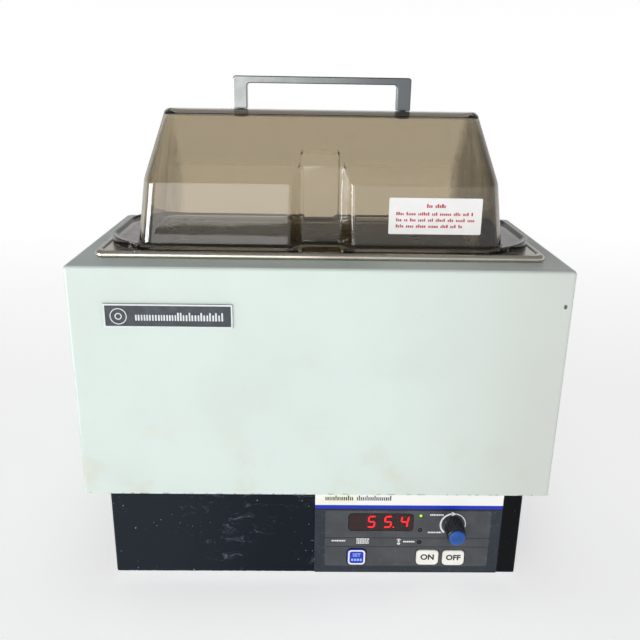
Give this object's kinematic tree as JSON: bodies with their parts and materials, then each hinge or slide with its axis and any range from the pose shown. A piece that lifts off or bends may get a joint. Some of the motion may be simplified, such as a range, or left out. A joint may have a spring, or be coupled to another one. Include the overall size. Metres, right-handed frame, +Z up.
{
  "type": "benchtop heated water bath",
  "caption": "Benchtop heated water bath: painted housing and base, stainless tank, control panel with display, knob and keys, and a tinted gabled lift-off cover with a handle.",
  "frame": {"origin": "on the bench under the feet, at the centre of the bounding box in plan", "axes": "+Z up, +X to the right of someone facing the control panel, front with the control panel at -Y"},
  "size_m": [0.36, 0.2084, 0.39],
  "materials": {
    "pale_paint": "satin",
    "dark_paint": "satin",
    "stainless": "satin",
    "zinc_steel": "zinc plated",
    "aluminium": "satin",
    "brass": "satin",
    "smoke_plastic": "clear, smoke tinted",
    "label_white": "matt",
    "brown_plastic": "glossy",
    "plate_grey": "satin",
    "fascia_slate": "satin",
    "display_red": "tinted, glossy",
    "black_plastic": "satin",
    "lamp_green": "clear",
    "lamp_dark": "clear",
    "key_blue": "satin",
    "key_white": "satin",
    "cap_blue": "satin",
    "rubber": "matt",
    "gasket_black": "matt",
    "glass_wool": "matt",
    "heater_orange": "matt",
    "board_green": "satin",
    "winding_yellow": "satin"
  },
  "bodies": {
    "bath": {"housing_shell": "pale_paint", "housing_floor": "zinc_steel", "base_chassis": "dark_paint", "base_bottom_plate": "zinc_steel", "foot_front_left": "rubber", "foot_front_right": "rubber", "foot_rear_left": "rubber", "foot_rear_right": "rubber", "side_screw_left_front": "zinc_steel", "side_screw_left_rear": "zinc_steel", "side_screw_right_front": "zinc_steel", "side_screw_right_rear": "zinc_steel", "nameplate": "plate_grey", "bath_tank": "stainless", "tank_gasket": "gasket_black", "tank_insulation_wrap": "glass_wool", "heater_mat": "heater_orange", "bottom_insulation_pad": "glass_wool", "overheat_thermostat": "black_plastic", "temperature_probe": "stainless", "control_fascia": "fascia_slate", "display_window": "display_red", "display_module": "black_plastic", "heating_lamp": "lamp_green", "setpoint_lamp": "lamp_dark", "alarm_lamp": "lamp_dark", "set_switch": "black_plastic", "on_switch": "black_plastic", "off_switch": "black_plastic", "encoder_body": "zinc_steel", "encoder_nut": "brass", "control_board": "board_green", "board_standoff_lower_left": "brass", "board_standoff_upper_left": "brass", "board_standoff_lower_right": "brass", "board_standoff_upper_right": "brass", "power_board": "board_green", "power_transformer": "winding_yellow", "heater_relay": "black_plastic", "power_inlet": "black_plastic", "inlet_pin_live": "brass", "inlet_pin_earth": "brass", "inlet_pin_neutral": "brass", "inlet_screw_left": "zinc_steel", "inlet_screw_right": "zinc_steel"},
    "cover": {"cover_shell": "smoke_plastic", "cover_label": "label_white", "cover_handle": "aluminium", "handle_washer_left": "brown_plastic", "handle_washer_right": "brown_plastic", "handle_screw_left": "brown_plastic", "handle_screw_right": "brown_plastic"},
    "shelf": {"diffuser_shelf": "stainless"},
    "knob": {"encoder_shaft": "zinc_steel", "knob_body": "black_plastic", "knob_cap": "cap_blue"},
    "set_key": {"set_key": "key_blue"},
    "on_key": {"on_key": "key_white"},
    "off_key": {"off_key": "key_white"}
  },
  "joints": [
    {"name": "cover_lift", "type": "slide", "parent": "bath", "child": "cover", "axis": [0, 0, 1], "range_m": [0, 0.2]},
    {"name": "shelf_lift", "type": "slide", "parent": "bath", "child": "shelf", "axis": [0, 0, 1], "range_m": [0, 0.105]},
    {"name": "knob_turn", "type": "hinge", "parent": "bath", "child": "knob", "pos_m": [0.108, -0.08455, 0.0538], "axis": [0, 1, 0], "continuous": true},
    {"name": "set_key_press", "type": "slide", "parent": "bath", "child": "set_key", "axis": [0, 1, 0], "range_m": [0, 0.0008], "stiffness_N_per_m": 900},
    {"name": "on_key_press", "type": "slide", "parent": "bath", "child": "on_key", "axis": [0, 1, 0], "range_m": [0, 0.0008], "stiffness_N_per_m": 900},
    {"name": "off_key_press", "type": "slide", "parent": "bath", "child": "off_key", "axis": [0, 1, 0], "range_m": [0, 0.0008], "stiffness_N_per_m": 900}
  ]
}
